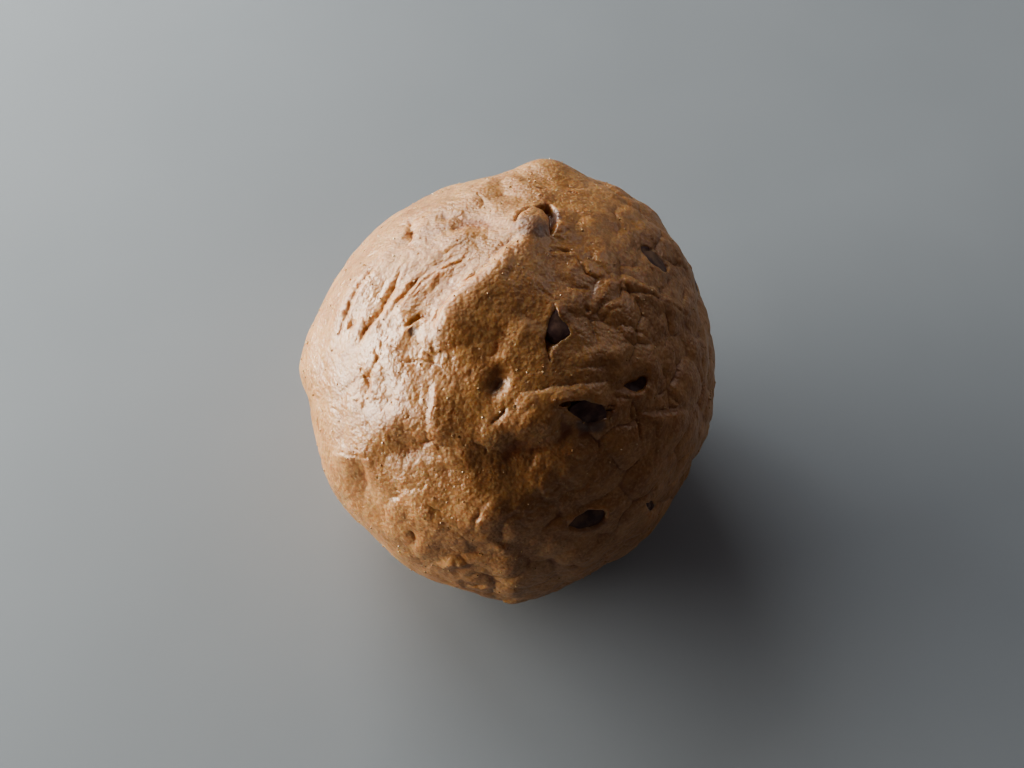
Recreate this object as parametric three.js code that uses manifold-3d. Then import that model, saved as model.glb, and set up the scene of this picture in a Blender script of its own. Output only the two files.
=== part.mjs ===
// A ball of cookie dough with chocolate chips, pressed together by hand and resting on its own weight.
// Units are millimetres and +Z is up. The origin is on the flat underside, in the middle of the outline.
//
// The dough is one solid: an uneven ball with swellings, hollows, ledges and creases, and a pocket for each
// chip. Each chip is a solid of its own, a small drop with a flat round base, set in its pocket.
//
// Most of the relief is placed on the ball's face, which looks forward and up. A place there is written
// [across, up], in millimetres from the middle of the ball, as it is seen from VIEW_DISTANCE at VIEW_TILT.
import * as THREE from "three";
import { mergeVertices } from "three/addons/utils/BufferGeometryUtils.js";
import Module from "manifold-3d";

// Driving dimensions of the ball
const BALL_WIDTH = 98.5;
const BALL_DEPTH = 101.5;
const BALL_HEIGHT = 88;
const FOOT_DIAMETER = 52;
const SAG = 1.2; // how far the flanks have slumped outwards, low down on the ball
const SAG_PLACE = -0.5; // the sine of the angle below the middle at which they have slumped most
const SAG_SPREAD = 0.35;

// The chips
const CHIP_WIDTH = 8.6;
const CHIP_HEIGHT = 6.6;
const CHIP_GAP = 0.35; // air between a chip and its pocket
const CHIP_SIDES = 12;
const CHIP_SIZE_SPREAD = 0.12; // chips differ by this share in size

// Where the face is seen from
const VIEW_TILT = THREE.MathUtils.degToRad(58);
const VIEW_DISTANCE = 273;

// The mesh
const BASE_DETAIL = 12;
const FINE_EDGE = 2.3; // longest edge beside a crease or a pocket
const FINE_REACH = 3; // how far from a crease the mesh is fine
const NARROWEST = 1.6; // narrowest crease that the mesh can hold

const ROUND = BALL_WIDTH / 2; // radius of the round ball on which distances are measured
const CENTRE_HEIGHT = centreHeight();

const ACROSS = new THREE.Vector3(1, 0, 0);
const UP = new THREE.Vector3(0, Math.sin(VIEW_TILT), Math.cos(VIEW_TILT));
const OUT = new THREE.Vector3(0, -Math.cos(VIEW_TILT), Math.sin(VIEW_TILT));

// The height of the ball's centre at which an egg of this width has a foot of FOOT_DIAMETER.
function centreHeight() {
  const share = FOOT_DIAMETER / (BALL_WIDTH + BALL_DEPTH) * 2;
  const drop = Math.sqrt(1 - share * share);
  return (BALL_HEIGHT * drop) / (1 + drop);
}

// Swellings and hollows of the whole ball: where, how high, and how wide.
const SWELLINGS = [
  { at: [33, 43], rise: 4.5, spread: 20 }, // back right shoulder
  { at: [9.5, 54], rise: 4.2, spread: 6.5 }, // knob at the crown
  { at: [-25, 43], rise: -1.2, spread: 17 },
  { at: [-47, 26], rise: -2.6, spread: 9 },
  { at: [-49.5, 2], rise: 1.4, spread: 7 },
  { at: [-52, -11], rise: -4.2, spread: 10 },
  { at: [-12, -52], rise: -0.8, spread: 12 },
  { at: [1.5, -54], rise: 2.2, spread: 5.5 }, // chin
  { at: [46, -27], rise: -4.0, spread: 10.5 },
  { at: [-37, -40], rise: -2.1, spread: 14 },
  { at: [25, -47], rise: -1.7, spread: 14 },
  { at: [-7, 15], rise: 1.5, spread: 15 }, // the broad flap left of the middle
  { at: [-17, 24], rise: -1.3, spread: 7 }, // the hollow that the flap overlaps
  { at: [7, -6], rise: 1.7, spread: 8 }, // the roll across the middle
  { at: [20, -2], rise: 1.2, spread: 6 },
  { at: [2, -17], rise: -1.9, spread: 9 }, // the hollow under the roll
  { at: [22, -20], rise: -0.9, spread: 12 },
  { at: [-24, -17], rise: -1.5, spread: 6 },
  { at: [-24, -10], rise: 0.9, spread: 6 },
  { at: [-3, -33], rise: 1.3, spread: 7 },
  { at: [-33, -28], rise: -1.3, spread: 6 },
  { at: [-11, 39], rise: -0.8, spread: 6 },
  { at: [26, 27], rise: 1.1, spread: 9 },
  { at: [30, 14], rise: 0.9, spread: 8 },
  { at: [3, 4], rise: -1.0, spread: 7 },
];

// Ledges: one side stands over the other. The raised side is on the right of the route.
const LEDGES = [
  // the flap, over the left and the top
  { route: [[-16.5, 6], [-17.6, 11], [-14.5, 20], [-8, 24.2], [-1.5, 30], [3, 36]], rise: 1.9, reach: 7 },
  { route: [[-19, -15], [-19.4, -11.5], [-17.6, -5], [-15, 1]], rise: 1.1, reach: 5 },
  // the roll across the middle, from above and from below
  { route: [[13, -9], [5, -11], [-4, -13.2], [-11.5, -12]], rise: 1.2, reach: 6 },
  { route: [[1.5, 13], [1, 8.5], [-3, 4.5]], rise: -1.5, reach: 5 },
  // the flap at the bottom
  { route: [[-8.4, -37], [-7.8, -33], [-4.6, -28.6], [1, -26]], rise: 1.5, reach: 6 },
  { route: [[8.6, -29], [8, -25], [9, -21.5]], rise: 0.8, reach: 4 },
  { route: [[-27.5, -34], [-28.6, -31], [-26, -27.6]], rise: 0.9, reach: 4 },
  { route: [[-44, -15.5], [-38, -18], [-31, -19]], rise: 0.7, reach: 5 },
  { route: [[0.2, 50.5], [1, 46], [6, 44.5], [15, 45]], rise: -0.9, reach: 5 },
];

// Creases: where the dough was folded over and pressed shut.
const CREASES = [
  { route: [[-24.5, 28.5], [-28, 22.5], [-31, 16.8], [-35, 12.3], [-37.4, 5.8]], depth: 0.95, width: 1.1 },
  { route: [[-17.5, 29], [-22.2, 24.2], [-26, 18.6], [-28.5, 16]], depth: 0.75, width: 1.3 },
  { route: [[-36.5, 20], [-38, 14.5], [-42, 7.5]], depth: 0.5, width: 1.2 },
  { route: [[-8.5, 30.5], [-13, 27], [-19, 25.5]], depth: 0.5, width: 1.5 },
  { route: [[-24, 39.5], [-23.6, 36], [-24.6, 31]], depth: 0.6, width: 1.1 },
  { route: [[-28.5, 8.2], [-24, 5], [-19, 4.6], [-15, 2]], depth: 0.45, width: 0.9 },
  { route: [[-35.8, 4], [-35, 0.5], [-34.2, -2.6]], depth: 0.6, width: 1.0 },
  { route: [[-27, -13.6], [-21, -14.4], [-18.6, -15.6], [-12, -16.4]], depth: 0.7, width: 1.0 },
  { route: [[-35.2, -19.5], [-35, -25], [-32.5, -30.5], [-27.5, -36]], depth: 0.65, width: 2.0 },
  { route: [[-28.5, -25.4], [-26, -27.3], [-28.4, -30]], depth: 0.5, width: 0.9 },
  { route: [[-24, -35.5], [-21.5, -39.5]], depth: 0.45, width: 1.8 },
  { route: [[-6, -38.7], [-8.3, -36], [-8, -33.5], [-4.8, -29]], depth: 0.65, width: 0.9 },
  { route: [[-15, -43], [-11, -44.6]], depth: 0.4, width: 0.9 },
  { route: [[-9.5, -49.4], [-5, -48.8]], depth: 0.45, width: 0.9 },
  { route: [[-0.5, -1.6], [4, -2.7], [13, -1], [20, 0.2], [24.5, 1.2], [28, -0.6]], depth: 0.6, width: 0.9 },
  { route: [[-5.5, -10.8], [-1.8, -7.7], [0, -4.4]], depth: 0.55, width: 1.0 },
  { route: [[8.6, 31.5], [14.5, 31.1], [18, 27.5], [20.5, 24.3], [22, 22.3]], depth: 0.5, width: 0.8 },
  { route: [[13, 23.8], [17.5, 22.6], [22, 22]], depth: 0.5, width: 1.0 },
  { route: [[24, 22.6], [29, 21.9], [34.5, 20.8], [38, 16.2], [43.5, 15.4]], depth: 0.65, width: 1.3 },
  { route: [[28, 18.3], [24.8, 17.8], [22.3, 12]], depth: 0.45, width: 1.2 },
  { route: [[9.2, 7.6], [10.4, 4.2]], depth: 0.5, width: 0.8 },
  { route: [[28.6, -4.4], [31.2, -7], [31.6, -16]], depth: 0.45, width: 0.8 },
  { route: [[35.3, -7.2], [39.2, -7], [43.2, -5.2]], depth: 0.45, width: 0.9 },
  { route: [[38, 30], [43.8, 26]], depth: 0.5, width: 1.0 },
  { route: [[36, -21.6], [43.5, -21.4]], depth: 0.35, width: 0.9 },
  { route: [[5.2, 46.4], [8.8, 46.3]], depth: 0.55, width: 0.8 },
  { route: [[13.8, 45.6], [17, 45.7]], depth: 0.55, width: 0.8 },
  { route: [[9.6, 34.9], [13.2, 33.8]], depth: 0.4, width: 0.8 },
];

// The sides and the back have creases of the same kind, drawn by a seeded rule.
const BACK_CREASES = 20;
const BACK_CREASE_LENGTH = [7, 20];
const BACK_CREASE_DEPTH = [0.5, 1.1];
const BACK_CREASE_WIDTH = [0.9, 1.6];

// Chips on the face.
// sink: how far the middle of the chip lies under the skin.
// tip: where its point looks, as [across, up, out] at that spot.
// mouth: the hole in the skin over it, as its length, width, depth and turn in degrees.
// shift: how far that hole lies to the side of the chip, as [across, up].
const FACE_CHIPS = [
  { name: "chip_top", at: [6.2, 37], sink: 3.9, tip: [-0.25, -0.9, -0.35], mouth: [8.8, 7, 2, 10] },
  { name: "chip_right_shoulder", at: [35.2, 29.6], sink: 3.5, tip: [0.2, 0, -1], mouth: [8, 4, 1.1, -45] },
  { name: "chip_middle", at: [12, 13.4], sink: 3.5, tip: [-0.55, -0.83, 0], mouth: [11, 4.8, 2.4, 62] },
  { name: "chip_in_pit", at: [-2.4, -0.8], sink: 5, tip: [0.6, 0.4, -1], mouth: [6, 3.6, 3.6, 62] },
  { name: "chip_right_hole", at: [31, -0.3], sink: 4.7, tip: [0.2, 0.5, -1], mouth: [6.6, 3, 3.4, 12] },
  {
    name: "chip_under_roll",
    at: [19.4, -7.4],
    sink: 4,
    tip: [0.1, 0.55, -1],
    mouth: [11.8, 4, 2.8, -9],
    shift: [-0.6, 0.2],
  },
  { name: "chip_low_right", at: [19.8, -33.4], sink: 4.3, tip: [0.2, -0.3, -1], mouth: [8.8, 4.8, 2.6, 14] },
  {
    name: "chip_rim_right",
    at: [34.2, -30.2],
    sink: 4.3,
    tip: [-0.6, -0.4, -1],
    mouth: [4.2, 2.6, 2.4, 80],
  },
  { name: "chip_left_tip", at: [-22.8, 12], sink: 3.5, tip: [0.2, 0.2, 1], mouth: [3, 2.2, 1.4, 70] },
];

// Chips on the sides and the back, at places given as [bearing, height] in degrees: the bearing is counted
// from straight ahead towards the right, and the height from the ball's middle.
const BACK_CHIPS = [
  { name: "chip_back_1", place: [112, 20], sink: 3.7, tip: [0.3, 0.2, -1], mouth: [8.2, 5.6, 1.4, 30] },
  { name: "chip_back_2", place: [140, -14], sink: 3.5, tip: [0.8, -1, 0], mouth: [9.6, 5.2, 2.6, 45] },
  { name: "chip_back_3", place: [168, 32], sink: 3.5, tip: [-1, 0.3, 0.1], mouth: [10, 5.6, 2.6, 0] },
  { name: "chip_back_4", place: [190, 2], sink: 4.2, tip: [0.1, 0.2, -1], mouth: [6.4, 4.6, 3, 70] },
  { name: "chip_back_5", place: [222, -20], sink: 3.5, tip: [0.4, 0.9, 0], mouth: [9, 5, 2.6, 120] },
  { name: "chip_back_6", place: [219, 12], sink: 3.7, tip: [-0.2, 0.2, -1], mouth: [8.4, 5, 1.4, 10] },
  { name: "chip_side_left", place: [266, -16], sink: 3.6, tip: [0.9, 0.3, 0], mouth: [9, 4.6, 2.6, 160] },
];

// A repeatable series of numbers from 0 to 1.
function seriesFrom(seed) {
  let state = seed;
  return () => {
    state = (state * 1664525 + 1013904223) % 4294967296;
    return state / 4294967296;
  };
}

const between = ([low, high], share) => low + (high - low) * share;

// The direction from the ball's centre of the spot that shows at [across, up] on the face. The ball is
// taken as round there, with the radius that it has at that spot, which a few rounds find.
function onFace([across, up], radiusAt = bodyRadius) {
  const ROUNDS = 5;
  const view2 = VIEW_DISTANCE ** 2;
  let direction = OUT;
  for (let i = 0; i < ROUNDS; i++) {
    const radius = radiusAt(direction);
    const rim = (radius * VIEW_DISTANCE) / Math.sqrt(view2 - radius ** 2);
    const shrink = Math.min(1, (rim - 1e-3) / Math.hypot(across, up, 1e-9));
    const [a, u] = [across * shrink, up * shrink];
    const side2 = a * a + u * u;
    const t = (view2 - Math.sqrt(view2 ** 2 - (side2 + view2) * (view2 - radius ** 2))) / (side2 + view2);
    direction = new THREE.Vector3()
      .addScaledVector(ACROSS, a * t)
      .addScaledVector(UP, u * t)
      .addScaledVector(OUT, VIEW_DISTANCE * (1 - t))
      .normalize();
  }
  return direction;
}

// The direction at a bearing and a height in degrees.
function onSide([bearing, height]) {
  const [b, h] = [bearing, height].map(THREE.MathUtils.degToRad);
  return new THREE.Vector3(Math.sin(b) * Math.cos(h), -Math.cos(b) * Math.cos(h), Math.sin(h));
}

// A smooth line on the round ball through some directions, as points with their run from 0 to 1.
function lineOn(directions) {
  const SPAN_STEPS = 6;
  const points = directions.map((d) => d.clone().multiplyScalar(ROUND));
  const curve = new THREE.CatmullRomCurve3(points, false, "centripetal");
  const samples = curve.getPoints(SPAN_STEPS * (points.length - 1));
  const sphere = new THREE.Sphere().setFromPoints(samples);
  return { samples: samples.map((p) => p.setLength(ROUND)), middle: sphere.center, radius: sphere.radius };
}

// The distance from p to a line, the side of it that p is on (1 on the right) and how far along it p lies.
function nearest(p, line) {
  let best = { distance: Infinity, side: 1, run: 0 };
  const spans = line.samples.length - 1;
  for (let i = 0; i < spans; i++) {
    const [a, b] = [line.samples[i], line.samples[i + 1]];
    const ab = b.clone().sub(a);
    const ap = p.clone().sub(a);
    const t = THREE.MathUtils.clamp(ap.dot(ab) / ab.lengthSq(), 0, 1);
    const off = ap.addScaledVector(ab, -t);
    const distance = off.length();
    if (distance < best.distance) {
      best = { distance, side: Math.sign(ab.cross(p).dot(off)) || 1, run: (i + t) / spans };
    }
  }
  return best;
}

const bell = (x) => Math.exp(-x * x);
const smooth = (x) => THREE.MathUtils.smoothstep(x, 0, 1);

// Full in the middle of a crease or ledge, and nothing at its two ends.
function taper(run) {
  const END = 0.22;
  return smooth(run / END) * smooth((1 - run) / END);
}

const CREASE_BANK = 0.35; // height of the banks beside a crease, as a share of its depth
const BANK_WIDTH = 1.2; // width of a bank, and how far out it lies, in widths of the crease
const BANK_PLACE = 1.8;
const CREASE_REACH = 4; // how far a crease is felt, in widths of it
const LEDGE_EDGE = 1.4; // width over which a ledge rises
const LEDGE_REACH = 2.5; // how far a ledge is felt, as a share of its reach
const POCKET_REACH = CHIP_WIDTH * 0.75; // how far round a chip the mesh is fine

const swellings = SWELLINGS.map((s) => ({ ...s, direction: onFace(s.at, eggRadius) }));
const faceLine = (route) => lineOn(route.map((place) => onFace(place)));
const ledges = LEDGES.map((l) => ({ ...l, line: faceLine(l.route) }));
const creases = [...CREASES.map((c) => ({ ...c, line: faceLine(c.route) })), ...backCreases()];

// The radius of the plain egg, with its slumped flanks, in a direction from its centre.
function eggRadius({ x, y, z }) {
  const egg = 1 / Math.hypot(x / (BALL_WIDTH / 2), y / (BALL_DEPTH / 2), z / (BALL_HEIGHT - CENTRE_HEIGHT));
  return egg + SAG * bell((z - SAG_PLACE) / SAG_SPREAD);
}

// The radius of the ball with its swellings and hollows.
function bodyRadius(direction) {
  let radius = eggRadius(direction);
  for (const s of swellings) radius += s.rise * bell((direction.angleTo(s.direction) * ROUND) / s.spread);
  return radius;
}

// Creases all over the part of the ball that doesn't show from the front, clear of its foot.
function backCreases() {
  const BEARINGS = [60, 300];
  const HEIGHTS = [-38, 62];
  const SHOWS = 0.12; // a direction that leans this far towards the front can be seen
  const draw = seriesFrom(7);
  const made = [];
  while (made.length < BACK_CREASES) {
    const middle = onSide([between(BEARINGS, draw()), between(HEIGHTS, draw())]);
    const turn = draw() * Math.PI;
    const half = between(BACK_CREASE_LENGTH, draw()) / 2 / ROUND;
    const depth = between(BACK_CREASE_DEPTH, draw());
    const width = between(BACK_CREASE_WIDTH, draw());
    const bow = between([-0.25, 0.25], draw());
    if (middle.dot(OUT) > SHOWS) continue;
    const [u, v] = tangents(middle);
    const along = u.clone().multiplyScalar(Math.cos(turn)).addScaledVector(v, Math.sin(turn));
    const aside = new THREE.Vector3().crossVectors(middle, along);
    const route = [-1, 0, 1].map((k) =>
      middle
        .clone()
        .addScaledVector(along, k * half)
        .addScaledVector(aside, k * k * bow * half)
        .normalize(),
    );
    made.push({ line: lineOn(route), depth, width });
  }
  return made;
}

// Two directions along the skin at a spot: across, and up the ball.
function tangents(direction) {
  const across = new THREE.Vector3(0, 0, 1).cross(direction).normalize();
  return [across, new THREE.Vector3().crossVectors(direction, across)];
}

// How far the skin stands out at a direction, over the ball with its swellings.
function reliefAt(direction) {
  const p = direction.clone().multiplyScalar(ROUND);
  let height = 0;
  for (const ledge of ledges) {
    if (p.distanceTo(ledge.line.middle) > ledge.line.radius + LEDGE_REACH * ledge.reach) continue;
    const { distance, side, run } = nearest(p, ledge.line);
    const away = side * distance;
    const lifted = 1 / (1 + Math.exp(-away / (LEDGE_EDGE / 2)));
    height += ledge.rise * taper(run) * lifted * Math.exp(-Math.max(away, 0) / ledge.reach);
  }
  for (const crease of creases) {
    const width = Math.max(crease.width, NARROWEST);
    if (p.distanceTo(crease.line.middle) > crease.line.radius + CREASE_REACH * width) continue;
    const { distance, run } = nearest(p, crease.line);
    const across = distance / width;
    const bank = CREASE_BANK * bell(across / BANK_WIDTH - BANK_PLACE);
    height += crease.depth * taper(run) * (bank - bell(across));
  }
  return height;
}

// The skin of the dough in a direction from the ball's centre, measured from that centre.
function skinAt(direction) {
  return direction.clone().multiplyScalar(bodyRadius(direction) + reliefAt(direction));
}

// Triangles on the unit ball: even at first, and then split where the relief is fine.
function ballMesh(isFine) {
  const start = new THREE.IcosahedronGeometry(1, BASE_DETAIL);
  start.deleteAttribute("normal");
  start.deleteAttribute("uv");
  const merged = mergeVertices(start, 1e-5);
  const places = merged.attributes.position;
  const directions = Array.from({ length: places.count }, (_, i) =>
    new THREE.Vector3().fromBufferAttribute(places, i).normalize(),
  );
  let triangles = [];
  for (let i = 0; i < merged.index.count; i += 3) {
    triangles.push([0, 1, 2].map((k) => merged.index.getX(i + k)));
  }
  const middles = new Map();
  const middleOf = (a, b) => {
    const key = a < b ? `${a},${b}` : `${b},${a}`;
    if (!middles.has(key)) {
      const middle = directions[a].clone().add(directions[b]).normalize();
      const long = directions[a].distanceTo(directions[b]) * ROUND > FINE_EDGE;
      middles.set(key, long && isFine(middle) ? directions.push(middle) - 1 : -1);
    }
    return middles.get(key);
  };
  const split = [];
  for (const [a, b, c] of triangles) split.push(...splitTriangle([a, b, c], middleOf));
  return { directions, triangles: split };
}

// A triangle cut at the middles of its edges, where they have one.
function splitTriangle(corners, middleOf) {
  const middles = corners.map((c, k) => middleOf(c, corners[(k + 1) % 3]));
  const count = middles.filter((m) => m >= 0).length;
  if (count === 0) return [corners];
  const first = count === 2 ? middles.findIndex((m) => m < 0) : middles.findIndex((m) => m >= 0);
  const [a, b, c] = [0, 1, 2].map((k) => corners[(first + k) % 3]);
  const [ab, bc, ca] = [0, 1, 2].map((k) => middles[(first + k) % 3]);
  if (count === 1) return [[a, ab, c], [ab, b, c]];
  if (count === 2) return [[a, b, bc], [a, bc, ca], [ca, bc, c]];
  return [[a, ab, ca], [ab, b, bc], [bc, c, ca], [ab, bc, ca]];
}

const wasm = await Module();
wasm.setup();

function solidOf(vertices, triangles) {
  const vertProperties = new Float32Array(vertices.flatMap((v) => v.toArray()));
  const triVerts = new Uint32Array(triangles.flat());
  return new wasm.Manifold(new wasm.Mesh({ numProp: 3, vertProperties, triVerts }));
}

// A solid from a closed three.js geometry, moved by a matrix.
function solidFrom(geometry, matrix = new THREE.Matrix4()) {
  const bare = geometry.clone().applyMatrix4(matrix);
  bare.deleteAttribute("normal");
  bare.deleteAttribute("uv");
  const merged = mergeVertices(bare, 1e-4);
  const triVerts = new Uint32Array(merged.index.array);
  return new wasm.Manifold(
    new wasm.Mesh({ numProp: 3, vertProperties: merged.attributes.position.array, triVerts }),
  );
}

function geometryOf(solid) {
  const mesh = solid.getMesh();
  const geometry = new THREE.BufferGeometry();
  geometry.setAttribute("position", new THREE.BufferAttribute(new Float32Array(mesh.vertProperties), 3));
  geometry.setIndex(new THREE.BufferAttribute(mesh.triVerts, 1));
  geometry.computeVertexNormals();
  return geometry;
}

// A chip's shape: a drop with a flat round base and a blunt tip along +Z, centred on its middle. The pocket
// for it is the same shape, larger all round by the clearance.
function chipGeometry(size, clearance = 0) {
  const radius = (CHIP_WIDTH / 2) * size;
  const height = CHIP_HEIGHT * size;
  const PROFILE = [
    [0.86, 0],
    [1, 0.12],
    [0.97, 0.28],
    [0.78, 0.52],
    [0.5, 0.74],
    [0.24, 0.93],
  ];
  const points = [new THREE.Vector2(0, -clearance)];
  for (const [r, z] of PROFILE) {
    const rising = z > 0.2 ? 0.4 : -1;
    points.push(new THREE.Vector2(r * radius + clearance, z * height + clearance * rising));
  }
  points.push(new THREE.Vector2(0, height + clearance));
  const lathe = new THREE.LatheGeometry(points, CHIP_SIDES);
  return lathe.rotateX(Math.PI / 2).translate(0, 0, -height / 2);
}

// The frame at a spot on the skin: its own across, up and out, at the skin itself.
function spotFrame(direction) {
  const [across, up] = tangents(direction);
  const origin = skinAt(direction).add(new THREE.Vector3(0, 0, CENTRE_HEIGHT));
  return new THREE.Matrix4().makeBasis(across, up, direction).setPosition(origin);
}

// Where a chip lies: its matrix, its size, and the hole in the skin over it.
function placeChip(chip, number) {
  const direction = chip.at ? onFace(chip.at) : onSide(chip.place);
  const draw = seriesFrom(100 + number);
  const size = 1 + CHIP_SIZE_SPREAD * (draw() * 2 - 1);
  const frame = spotFrame(direction);
  const tip = new THREE.Vector3(...chip.tip).normalize();
  const turn = new THREE.Quaternion().setFromUnitVectors(new THREE.Vector3(0, 0, 1), tip);
  const inSpot = new THREE.Matrix4().compose(
    new THREE.Vector3(0, 0, -chip.sink),
    turn,
    new THREE.Vector3(1, 1, 1),
  );
  const [length, width, depth, turned] = chip.mouth;
  const [shiftAcross, shiftUp] = chip.shift ?? [0, 0];
  const mouth = new THREE.Matrix4()
    .makeTranslation(shiftAcross, shiftUp, 0)
    .multiply(new THREE.Matrix4().makeRotationZ(THREE.MathUtils.degToRad(turned)))
    .scale(new THREE.Vector3(length / 2, width / 2, depth));
  return {
    name: chip.name,
    direction,
    size,
    matrix: frame.clone().multiply(inSpot),
    mouth: frame.clone().multiply(mouth),
  };
}

const chips = [...FACE_CHIPS, ...BACK_CHIPS].map(placeChip);

// The pocket that a chip sits in, with its mouth.
function pocketOf(chip) {
  const MOUTH_DETAIL = 2;
  const pocket = solidFrom(chipGeometry(chip.size, CHIP_GAP), chip.matrix);
  const mouth = solidFrom(new THREE.IcosahedronGeometry(1, MOUTH_DETAIL), chip.mouth);
  return pocket.add(mouth);
}

// True where the skin needs small triangles: near a crease, the edge of a ledge, or a chip.
function isFineAt(direction) {
  const p = direction.clone().multiplyScalar(ROUND);
  const lines = [...creases, ...ledges].map((c) => c.line);
  const nearLine = lines.some(
    (line) =>
      p.distanceTo(line.middle) < line.radius + FINE_REACH && nearest(p, line).distance < FINE_REACH,
  );
  return nearLine || chips.some((c) => c.direction.angleTo(direction) * ROUND < POCKET_REACH);
}

// The block that the flat foot is cut with: all that would lie under the surface the ball stands on.
function underFoot() {
  const block = new THREE.BoxGeometry(2 * BALL_WIDTH, 2 * BALL_WIDTH, BALL_HEIGHT);
  return solidFrom(block, new THREE.Matrix4().makeTranslation(0, 0, -BALL_HEIGHT / 2));
}

function doughSolid() {
  const { directions, triangles } = ballMesh(isFineAt);
  const middle = new THREE.Vector3(0, 0, CENTRE_HEIGHT);
  const skin = solidOf(
    directions.map((d) => skinAt(d).add(middle)),
    triangles,
  );
  return chips.reduce((dough, chip) => dough.subtract(pocketOf(chip)), skin.subtract(underFoot()));
}

const doughMaterial = new THREE.MeshStandardMaterial({ color: 0xb58253, roughness: 0.62, metalness: 0 });
const chipMaterial = new THREE.MeshStandardMaterial({ color: 0x3a221a, roughness: 0.42, metalness: 0 });

function namedMesh(name, geometry, material) {
  const mesh = new THREE.Mesh(geometry, material);
  mesh.name = name;
  return mesh;
}

const ball = new THREE.Group();
ball.add(namedMesh("dough", geometryOf(doughSolid()), doughMaterial));
for (const chip of chips) {
  const mesh = namedMesh(chip.name, chipGeometry(chip.size), chipMaterial);
  mesh.applyMatrix4(chip.matrix);
  ball.add(mesh);
}

// The outline's middle goes over the origin.
const outline = new THREE.Box3().setFromObject(ball.children[0]);
const offset = outline.getCenter(new THREE.Vector3());
ball.position.set(-offset.x, -offset.y, 0);

export default ball;
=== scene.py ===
"""A ball of biscuit dough with chocolate chips: its folded skin, its chips and the sugar in it.

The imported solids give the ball's form and the place of every chip. The skin is remeshed from them,
smoothed, and then worked in millimetres: folds, creases, pits and knobs are pressed into it where they lie
on the ball. A place on the ball's face is written (across, up), in millimetres from the ball's middle, as
the camera sees it.
"""
import itertools
import math
import random

import bpy
import numpy as np
from mathutils import Matrix, Vector
from mathutils.bvhtree import BVHTree


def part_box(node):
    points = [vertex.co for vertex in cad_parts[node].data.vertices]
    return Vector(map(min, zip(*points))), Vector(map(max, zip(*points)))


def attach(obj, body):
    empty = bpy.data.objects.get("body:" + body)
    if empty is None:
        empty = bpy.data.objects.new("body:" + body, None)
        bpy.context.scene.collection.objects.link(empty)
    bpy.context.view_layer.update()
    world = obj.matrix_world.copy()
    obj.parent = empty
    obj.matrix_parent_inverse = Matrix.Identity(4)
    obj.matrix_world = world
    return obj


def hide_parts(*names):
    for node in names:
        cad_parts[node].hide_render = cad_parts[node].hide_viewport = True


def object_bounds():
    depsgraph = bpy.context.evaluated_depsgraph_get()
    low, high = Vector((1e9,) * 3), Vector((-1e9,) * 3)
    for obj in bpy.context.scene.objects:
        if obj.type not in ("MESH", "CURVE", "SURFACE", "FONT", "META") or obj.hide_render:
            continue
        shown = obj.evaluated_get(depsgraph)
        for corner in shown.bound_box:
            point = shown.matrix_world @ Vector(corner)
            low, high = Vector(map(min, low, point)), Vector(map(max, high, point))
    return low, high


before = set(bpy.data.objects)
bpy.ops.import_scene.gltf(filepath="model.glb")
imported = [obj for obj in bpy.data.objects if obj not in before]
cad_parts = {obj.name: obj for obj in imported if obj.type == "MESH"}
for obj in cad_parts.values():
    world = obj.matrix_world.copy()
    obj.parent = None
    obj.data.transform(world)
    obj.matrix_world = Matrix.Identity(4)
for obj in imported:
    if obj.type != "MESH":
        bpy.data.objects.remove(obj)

cad_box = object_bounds()

MM = 0.001
CAD_LOW, CAD_HIGH = (Vector(corner) for corner in cad_box[:2])
CENTRE = Vector((0, 0, 0.452 * CAD_HIGH.z))

# The camera: how steeply it looks down, from how far, and how much of the ball's middle a pixel covers.
VIEW_TILT = math.radians(58)
VIEW_DISTANCE = 273 * MM
IMAGE_WIDTH = 1024
PIXEL = 0.24 * MM
SENSOR = 36
BALL_PIXEL = (-3, 2)  # the ball's middle, counted from the picture's

ACROSS = Vector((1, 0, 0))
UP = Vector((0, math.sin(VIEW_TILT), math.cos(VIEW_TILT)))
OUT = Vector((0, -math.cos(VIEW_TILT), math.sin(VIEW_TILT)))
EYE = CENTRE + OUT * VIEW_DISTANCE

# The skin's mesh
VOXEL = 0.92 * MM
WEAR = 22  # rounds that wear away the solids' facets
FINE_REACH = 1.5  # how far from a crease the mesh is twice as fine
SKIN_TRIANGLES = 197000
LINE_STEP = 0.7  # how far apart the points of a line on the skin are
BALL_REACH = 0.2  # farther from the ball's middle than any of its points

# What repeats on the skin by a seeded rule
BACK_LINES = 46  # folds and creases on the sides and the back
BACK_FOLDED = 0.45  # how many of them are folds
WRINKLES = 220
SUGAR_GRAINS = 620
SUGAR_SIZE = (0.22, 0.42)

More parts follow.
